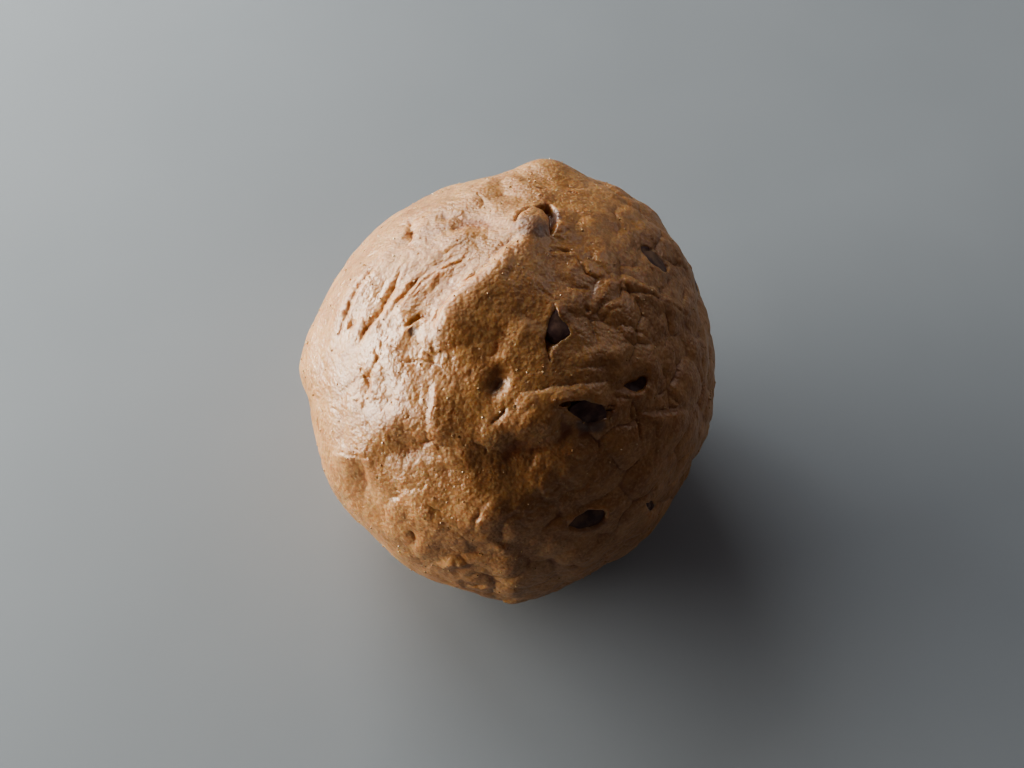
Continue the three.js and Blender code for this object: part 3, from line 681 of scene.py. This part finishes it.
def drawn_line(skin, outward, turn, length, bow):
    """A slightly bowed line on the skin, about a direction from the ball's middle."""
    across = Vector((0, 0, 1)).cross(outward).normalized()
    along = Matrix.Rotation(turn, 3, outward) @ across
    aside = outward.cross(along)
    half = length * MM / (CAD_HIGH.x - CAD_LOW.x)
    route = [(outward + (along * k + aside * bow * k * k) * half).normalized() for k in (-1, -0.4, 0.3, 1)]
    return rounded([skin.outermost(towards) for towards in route])


def direction(bearing, height):
    """A direction by its bearing from straight ahead towards the right, and its height, in degrees."""
    b, h = math.radians(bearing), math.radians(height)
    return Vector((math.sin(b) * math.cos(h), -math.cos(b) * math.cos(h), math.sin(h)))


def back_creases(skin):
    """Creases and folds on the sides and the back, of the same kind as on the face."""
    FACE_EDGE = -0.15  # how far round the ball the face's own folds reach
    draw = random.Random(11)
    made = 0
    while made < BACK_LINES:
        outward = direction(draw.uniform(50, 310), draw.uniform(-42, 70))
        turn, length, bow = draw.uniform(0, math.pi), draw.uniform(5, 19), draw.uniform(-0.3, 0.3)
        depth, width = draw.uniform(0.5, 1.1), draw.uniform(0.35, 0.6)
        folded = draw.random() < BACK_FOLDED
        if outward.dot(OUT) > FACE_EDGE:
            continue
        line = drawn_line(skin, outward, turn, length, bow)
        if folded:
            skin.fold(line, rise=depth, front=4 * width, back=4.5, tuck=0.4 * depth)
        else:
            skin.crease(line, depth, width)
        made += 1


def wrinkles(skin):
    """Short fine wrinkles all over, closer and deeper on the left of the face."""
    draw = random.Random(23)
    for _ in range(WRINKLES):
        outward = direction(draw.uniform(0, 360), math.degrees(math.asin(draw.uniform(-0.7, 1))))
        turn, length, bow = draw.gauss(0.9, 0.9), draw.uniform(1.6, 6.0), draw.uniform(-0.5, 0.5)
        left = smooth_step(0.3 - 1.2 * outward.dot(ACROSS))
        depth = draw.uniform(0.08, 0.28) + left * draw.uniform(0, 0.16)
        width = draw.uniform(0.28, 0.48)
        if draw.random() < 0.35 + 0.65 * left:
            skin.crease(drawn_line(skin, outward, turn, length, bow), depth, width)


def mark(piece, name, share):
    """Keeps which points a later step is for, as a vertex group."""
    group = piece.vertex_groups.new(name=name)
    for i in np.flatnonzero(share > 0.001):
        group.add([int(i)], float(share[i]), "REPLACE")


def cover_over(node):
    """How far the skin was over a chip before it opened."""
    return SHOWING[node][2] if node in SHOWING else COVERED


def close_over_chips(dough):
    """Fills the chips' pockets and their mouths, so that the skin runs smoothly over every chip."""
    WIDER = 1.14  # than a chip, so that no air is left round it
    fillings = []
    for node in chip_nodes:
        filling = copy_node(node, "filling")
        filling.data.transform(Matrix.Translation(-middle_of(node)))
        filling.data.transform(Matrix.Scale(WIDER, 4))
        filling.data.transform(Matrix.Translation(middle_of(node)))
        fillings.append(filling)
    select_only(dough)
    for filling in fillings:
        filling.select_set(True)
    bpy.ops.object.join()


def stretch_over_chips(dough):
    """Draws the skin taut over each chip, and sets it a little above the chip's highest point."""
    CAP = 6.2  # how far round a chip's middle the skin is taut
    FADE = 2.6  # over what distance that ends
    ROUNDS = 160  # of smoothing
    SETTLE = 5.5  # how far the chip's level is felt
    points = points_of(dough)
    outward = points - np.array(CENTRE) / MM
    outward /= np.linalg.norm(outward, axis=1)[:, None]
    share = np.zeros(len(points))
    distances = {}
    for node in chip_nodes:
        towards = np.array((middle_of(node) - CENTRE).normalized())
        distances[node] = np.linalg.norm(outward - towards, axis=1) * np.linalg.norm(points, axis=1).mean()
        share = np.maximum(share, smooth_step((CAP + FADE - distances[node]) / FADE))
    mark(dough, "over_chips", share)
    apply_modifier(dough, "Draw taut", "SMOOTH", factor=1.0, iterations=ROUNDS, vertex_group="over_chips")
    dough.vertex_groups.clear()
    taut = tree_of(dough)
    moved = points_of(dough)
    for node in chip_nodes:
        chip = points_of(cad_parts[node]) - np.array(CENTRE) / MM
        highest = chip[np.linalg.norm(chip, axis=1).argmax()]
        level = np.linalg.norm(highest) + cover_over(node)
        towards = Vector(highest).normalized()
        skin = taut.ray_cast(CENTRE + towards * BALL_REACH, -towards)[0]
        lift = level - (skin - CENTRE).length / MM
        moved += outward * (lift * bell(distances[node] / SETTLE))[:, None]
    move_points(dough, moved)


def refine_near_lines(dough):
    """Makes the mesh twice as fine beside the creases and the chips' openings."""
    skin = Skin(dough)
    chosen = np.zeros(len(skin.points), bool)
    for route, *_ in CREASES:
        chosen[skin.near(skin.face_line(route), FINE_REACH)[0]] = True
    for outline, *_ in SHOWING.values():
        chosen[skin.near(skin.face_line(outline, closed=True), FINE_REACH)[0]] = True
    select_only(dough)
    bpy.ops.object.mode_set(mode="EDIT")
    bpy.ops.mesh.select_mode(type="VERT")
    bpy.ops.mesh.select_all(action="DESELECT")
    bpy.ops.object.mode_set(mode="OBJECT")
    dough.data.vertices.foreach_set("select", chosen)
    bpy.ops.object.mode_set(mode="EDIT")
    bpy.ops.mesh.select_mode(type="FACE")
    bpy.ops.mesh.subdivide(number_cuts=1)
    bpy.ops.object.mode_set(mode="OBJECT")


def work_skin(dough):
    skin = Skin(dough)
    for route, *form in FOLDS:
        skin.fold(skin.face_line(route), *form)
    for route, *form in CREASES:
        skin.crease(skin.face_line(route), *form)
    for place, size, depth in PITS:
        skin.dent(place, size, depth)
    for place, size, rise in KNOBS:
        skin.dent(place, size, -rise)
    fine_relief(skin)
    back_creases(skin)
    wrinkles(skin)
    skin.finish()


def open_over_chips(dough):
    """The holes in the skin in which the chips show."""
    skin = Skin(dough)
    draw = random.Random(5)
    for node in chip_nodes:
        if node in SHOWING:
            outline, depth = SHOWING[node][:2]
            skin.open_at(skin.face_line(outline, closed=True), depth)
            continue
        towards = middle_of(node) - CENTRE
        outward = towards.normalized()
        across = Vector((0, 0, 1)).cross(outward).normalized()
        up = outward.cross(across)
        length, width = (draw.uniform(*limits) / 2 for limits in BACK_OPENING)
        turn = Matrix.Rotation(draw.uniform(0, math.pi), 3, outward)
        edge = []
        for angle in np.linspace(0, 2 * math.pi, 9, endpoint=False):
            ragged = draw.uniform(0.8, 1.15) * MM / towards.length
            aside = turn @ (across * length * math.cos(angle) + up * width * math.sin(angle))
            edge.append(skin.outermost((outward + aside * ragged).normalized()))
        skin.open_at(rounded(edge, closed=True), BACK_DEPTH)
    skin.finish()


def make_dough():
    """Returns the dough and its skin as it was before it was opened over the chips."""
    dough = copy_node("dough", "dough_skin")
    close_over_chips(dough)
    apply_modifier(dough, "Fuse", "REMESH", mode="VOXEL", voxel_size=VOXEL)
    stretch_over_chips(dough)
    apply_modifier(dough, "Wear", "SMOOTH", factor=0.5, iterations=WEAR)
    apply_modifier(dough, "Refine", "SUBSURF", levels=1, render_levels=1)
    refine_near_lines(dough)
    work_skin(dough)
    closed_skin = tree_of(dough)
    open_over_chips(dough)
    triangles = sum(len(face.vertices) - 2 for face in dough.data.polygons)
    apply_modifier(dough, "Thin out", "DECIMATE", ratio=min(1, SKIN_TRIANGLES / triangles))
    select_only(dough)
    bpy.ops.object.shade_smooth()
    return dough, closed_skin


def make_chip(node, closed_skin):
    """A chip with worn edges, pressed flush with the dough where it shows."""
    GAP = 0.35  # the air round the solid chip, which the chocolate fills
    FILL = 2.2  # how far its outward side may swell to the skin's level
    chip = copy_node(node, node + "_chocolate")
    bpy.ops.object.mode_set(mode="EDIT")
    bpy.ops.mesh.select_all(action="SELECT")
    bpy.ops.mesh.tris_convert_to_quads()
    bpy.ops.object.mode_set(mode="OBJECT")
    apply_modifier(chip, "Round", "SUBSURF", levels=3, render_levels=3)
    under = cover_over(node)
    points = points_of(chip)
    normals = normals_of(chip)
    swell = GAP + 0.3 * cloud(points, 3.5, 40) + 0.08 * cloud(points, 1.1, 41)
    worn = points + normals * swell[:, None]
    middle = np.array(CENTRE) / MM
    off = points - middle
    faces_out = np.einsum("ij,ij->i", normals, off) / np.linalg.norm(off, axis=1)
    pressed = FILL * smooth_step(2.4 * faces_out)
    for i, point in enumerate(worn):
        outward = (Vector(point) * MM - CENTRE).normalized()
        skin = closed_skin.ray_cast(CENTRE + outward * BALL_REACH, -outward)[0]
        height = np.linalg.norm(point - middle)
        reach = min(height + pressed[i], (skin - CENTRE).length / MM - under)
        worn[i] = middle + (point - middle) * reach / height
    move_points(chip, worn)
    smear = SHOWING[node][3] if node in SHOWING else SMEARED
    keep_share(chip, "smear", smear * smooth_step(2 * faces_out - 0.9))
    select_only(chip)
    bpy.ops.object.shade_smooth()
    return chip


def make_crystal():
    """One grain of sugar, one unit wide."""
    bpy.ops.object.select_all(action="DESELECT")
    bpy.ops.mesh.primitive_cube_add(size=1)
    crystal = bpy.context.object
    apply_modifier(crystal, "Worn corners", "BEVEL", width=0.18, segments=1, affect="VERTICES")
    return crystal


def make_sugar(dough):
    """Grains of sugar half sunk in the skin."""
    PROUD = 0.02  # how far a grain's middle stands over the skin
    tree = tree_of(dough)
    draw = random.Random(31)
    crystal = make_crystal()
    grains = []
    while len(grains) < SUGAR_GRAINS:
        outward = direction(draw.uniform(0, 360), math.degrees(math.asin(draw.uniform(-0.75, 1))))
        size = draw.uniform(*SUGAR_SIZE)
        shape = [draw.uniform(0.7, 1.2) for _ in range(3)]
        turn = Vector([draw.uniform(-1, 1) for _ in range(3)]).normalized().to_track_quat("Z", "Y")
        place, normal = tree.ray_cast(CENTRE + outward * BALL_REACH, -outward)[:2]
        grain = bpy.data.objects.new("grain", crystal.data.copy())
        bpy.context.collection.objects.link(grain)
        stretch = [size * MM * s for s in shape]
        grain.data.transform(Matrix.LocRotScale(place + normal * PROUD * MM, turn, stretch))
        grains.append(grain)
    bpy.data.objects.remove(crystal)
    select_only(grains[0])
    for grain in grains:
        grain.select_set(True)
    bpy.ops.object.join()
    sugar = bpy.context.object
    sugar.name = "sugar_grains"
    return sugar


class Finish:
    """A material. Each of its nodes comes from one call, with its settings first and then its sockets."""

    def __init__(self, name):
        self.material = bpy.data.materials.new(name)
        self.material.use_nodes = True
        self.tree = self.material.node_tree
        self.tree.nodes.clear()

    def node(self, kind, settings=None, sockets=None):
        made = self.tree.nodes.new("ShaderNode" + kind)
        for key, value in (settings or {}).items():
            setattr(made, key, value)
        for key, value in (sockets or {}).items():
            if isinstance(value, Value):
                value = value.socket
            if isinstance(value, bpy.types.NodeSocket):
                self.tree.links.new(value, made.inputs[key])
            else:
                made.inputs[key].default_value = value
        return made

    def value(self, kind, output, settings=None, sockets=None):
        return Value(self, self.node(kind, settings, sockets).outputs[output])

    def noise(self, place, size, detail=3.0, roughness=0.5):
        """Cloudy values about 0.5, with features of a size in millimetres."""
        return self.value("TexNoise", "Fac", None, {
            "Vector": place, "Scale": 1 / (size * MM), "Detail": detail, "Roughness": roughness})

    def pebbles(self, place, size):
        """Rounded grains of a size in millimetres: 1 on top of a grain and less between them."""
        grains = self.node("TexVoronoi", {"feature": "SMOOTH_F1"},
                           {"Vector": place, "Scale": 1 / (size * MM), "Smoothness": 0.35})
        return 1 - Value(self, grains.outputs["Distance"])

    def band(self, value, low, high):
        """0 below low, 1 above high, and smooth between."""
        return self.value("MapRange", "Result", {"interpolation_type": "SMOOTHSTEP"},
                          {"Value": value, "From Min": low, "From Max": high})

    def mix(self, share, first, second):
        """Two colours mixed: the first where the share is 0."""
        made = self.node("Mix", {"data_type": "RGBA"}, {0: share, 6: first, 7: second})
        return made.outputs[2]

    def bump(self, height, distance, strength=1.0):
        made = self.node("Bump", None, {"Strength": strength, "Distance": distance * MM, "Height": height})
        return made.outputs[0]

    def surface(self, **sockets):
        """The Principled shader with these sockets, as the material's surface."""
        named = {key.replace("_", " "): value for key, value in sockets.items()}
        shader = self.node("BsdfPrincipled", None, named)
        self.node("OutputMaterial", None, {"Surface": shader.outputs[0]})
        return self.material


class Value:
    """A node's output. Arithmetic on it adds Math nodes."""

    def __init__(self, finish, socket):
        self.finish = finish
        self.socket = socket

    def math(self, operation, *others):
        sockets = dict(enumerate((self, *others)))
        return self.finish.value("Math", 0, {"operation": operation}, sockets)

    def __add__(self, other):
        return self.math("ADD", other)

    __radd__ = __add__

    def __sub__(self, other):
        return self.math("SUBTRACT", other)

    def __rsub__(self, other):
        return (self * -1) + other

    def __mul__(self, other):
        return self.math("MULTIPLY", other)

    __rmul__ = __mul__


def dough_finish():
    finish = Finish("dough")
    place = finish.node("TexCoord").outputs["Object"]
    hollow = finish.value("Attribute", "Fac", {"attribute_name": "hollow"})
    stain_and_shade = finish.value("Attribute", "Fac", {"attribute_name": "stain_and_shade"})
    broad = finish.noise(place, 24, 3)
    mottle = finish.noise(place, 5, 5, 0.6)
    freckle = finish.noise(place, 1.7, 4, 0.65)
    grain = finish.noise(place, 0.7, 3, 0.6)
    base = finish.mix(finish.band(mottle + 0.5 * (broad - 0.5), 0.36, 0.66),
                      DOUGH_BROWN, DOUGH_TAN)
    freckled = finish.mix(finish.band(freckle, 0.5, 0.68) * 0.45, base, DOUGH_FRECKLES)
    speckled = finish.mix(finish.band(grain, 0.44, 0.68) * 0.5, freckled, DOUGH_GRAINS)
    # painted shade: darker and redder the deeper a point lies in a crease
    deep = finish.mix(finish.band(hollow, 0.1, 1), speckled, DOUGH_CREASE_SHADE)
    smudge = finish.noise(place, 1.6, 4, 0.6)
    # chocolate stains, partly painted shade in the pit and round the chips' openings
    stain_and_shade_share = finish.band(stain_and_shade + 0.5 * (smudge - 0.5), 0.15, 0.85) * 0.9
    brown = finish.mix(stain_and_shade_share, deep, DOUGH_STAIN_AND_SHADE)
    wet = finish.noise(place, 9, 3)
    crumb = finish.noise(place, 2.4, 3, 0.55)
    pores = finish.node("TexVoronoi", {"feature": "F1"}, {"Vector": place, "Scale": 1 / (2.3 * MM)})
    pore = finish.band(Value(finish, pores.outputs["Distance"]), 0.16, 0.07)
    grit = 0.55 * finish.pebbles(place, 1.5) + 0.36 * finish.pebbles(place, 0.75)
    return finish.surface(
        Base_Color=brown,
        Roughness=0.35 + 0.14 * finish.band(wet, 0.3, 0.7) + 0.2 * (grain - 0.5),
        Normal=finish.bump(grit + 0.4 * crumb + 0.25 * grain - 0.30 * pore, 0.30),
        IOR=1.6, Specular_IOR_Level=0.85,
        Subsurface_Weight=0.6, Subsurface_Radius=(1, 0.45, 0.2), Subsurface_Scale=2.4 * MM)


def chocolate_finish():
    finish = Finish("chocolate")
    place = finish.node("TexCoord").outputs["Object"]
    smear = finish.value("Attribute", "Fac", {"attribute_name": "smear"})
    bloom = finish.noise(place, 3, 4, 0.6)
    grain = finish.noise(place, 0.5, 3, 0.6)
    base = finish.mix(finish.band(bloom, 0.35, 0.7), CHOCOLATE_DARK, CHOCOLATE_PALE)
    filmed = finish.mix(finish.band(bloom + smear * 0.9, 0.62, 1.1), base, CHOCOLATE_FILMED)
    return finish.surface(
        Base_Color=filmed, Roughness=0.4 + 0.2 * bloom, Normal=finish.bump(grain + 0.6 * bloom, 0.12, 0.5))


def sugar_finish():
    finish = Finish("sugar")
    place = finish.node("TexCoord").outputs["Object"]
    tint = finish.noise(place, 6, 2)
    base = finish.mix(finish.band(tint, 0.3, 0.7), SUGAR_BROWN, SUGAR_PALE)
    return finish.surface(Base_Color=base, Roughness=0.14 + 0.2 * tint, Specular_IOR_Level=0.6)


def keep_share(piece, name, share):
    attribute = piece.data.attributes.new(name, "FLOAT", "POINT")
    attribute.data.foreach_set("value", np.asarray(share, np.float32))


def mark_hollows(dough):
    """Stores how deep in a crease each point lies, from 0 to 1: how far a smoother skin stands over it. The
    dough's finish paints shade into the creases by it.
    """
    ROUNDS = 30  # of smoothing
    FULL_DEPTH = 0.42
    points, normals = points_of(dough), normals_of(dough)
    edges = np.empty(2 * len(dough.data.edges), np.int32)
    dough.data.edges.foreach_get("vertices", edges)
    a, b = edges.reshape(-1, 2).T
    count = np.bincount(a, minlength=len(points)) + np.bincount(b, minlength=len(points))
    smoother = points.copy()
    for _ in range(ROUNDS):
        total = np.zeros_like(smoother)
        for k in range(3):
            total[:, k] = np.bincount(a, smoother[b, k], len(points))
            total[:, k] += np.bincount(b, smoother[a, k], len(points))
        smoother = 0.5 * smoother + 0.5 * total / np.maximum(count, 1)[:, None]
    depth = np.einsum("ij,ij->i", smoother - points, normals)
    keep_share(dough, "hollow", smooth_step(depth / FULL_DEPTH))


def mark_stains_and_shade(dough):
    """Stores how much chocolate shows at each point, together with painted shade in the pit and round the
    chips' openings.
    """
    skin = Skin(dough)
    stain_and_shade = np.zeros(len(skin.points))
    for place, (length, width, turn), share in STAINS_AND_SHADE:
        which, x, y, _ = skin.flat_places(skin.spot(*place), length)
        along, aside = turned(x, y, turn)
        far = np.hypot(along / (length / 2), aside / (width / 2))
        stain_and_shade[which] = np.maximum(stain_and_shade[which], share * smooth_step(1.5 * (1.15 - far)))
    keep_share(dough, "stain_and_shade", stain_and_shade)


def make_floor():
    bpy.ops.object.select_all(action="DESELECT")
    bpy.ops.mesh.primitive_plane_add(size=3, location=(0, 0, 0))
    floor = bpy.context.object
    floor.name = "floor"
    finish = Finish("floor")
    place = finish.node("TexCoord").outputs["Object"]
    cloudy = finish.noise(place, 60, 2)
    base = finish.mix(cloudy, FLOOR_DARK, FLOOR_PALE)
    floor.data.materials.append(finish.surface(Base_Color=base, Roughness=0.6))


def make_lights():
    """Soft rectangular lights that shine on the ball."""
    for name, (bearing, height, width, tall, strength, tint) in LIGHTS.items():
        towards = -direction(bearing, -height)
        data = bpy.data.lights.new(name, "AREA")
        data.shape = "RECTANGLE"
        data.size, data.size_y = width * LIGHT_DISTANCE, tall * LIGHT_DISTANCE
        data.energy = strength * math.pi * LIGHT_DISTANCE**2
        data.color = tint
        light = bpy.data.objects.new(name, data)
        bpy.context.collection.objects.link(light)
        light.location = CENTRE + towards * LIGHT_DISTANCE
        light.rotation_euler = towards.to_track_quat("Z", "Y").to_euler()
    world = bpy.data.worlds.new("room")
    bpy.context.scene.world = world
    world.use_nodes = True
    back = world.node_tree.nodes["Background"]
    back.inputs["Color"].default_value = ROOM_TINT
    back.inputs["Strength"].default_value = ROOM_GLOW


def make_camera():
    data = bpy.data.cameras.new("camera")
    data.sensor_width = SENSOR
    data.lens = SENSOR * VIEW_DISTANCE / (IMAGE_WIDTH * PIXEL)
    data.clip_start = 0.01
    camera = bpy.data.objects.new("camera", data)
    bpy.context.collection.objects.link(camera)
    aside, above = BALL_PIXEL
    camera.location = EYE - (ACROSS * aside + UP * above) * PIXEL
    camera.rotation_euler = OUT.to_track_quat("Z", "Y").to_euler()
    bpy.context.scene.camera = camera


make_camera()
make_lights()
make_floor()

chip_nodes = sorted(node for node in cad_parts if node.startswith("chip_"))
dough, closed_skin = make_dough()
mark_hollows(dough)
mark_stains_and_shade(dough)
dough.data.materials.append(dough_finish())
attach(dough, "root")
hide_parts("dough")

chocolate = chocolate_finish()
for node in chip_nodes:
    chip = make_chip(node, closed_skin)
    chip.data.materials.append(chocolate)
    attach(chip, "root")
    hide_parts(node)

sugar = make_sugar(dough)
sugar.data.materials.append(sugar_finish())
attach(sugar, "root")

bpy.context.scene.view_settings.view_transform = "AgX"
bpy.context.scene.view_settings.look = "AgX - High Contrast"
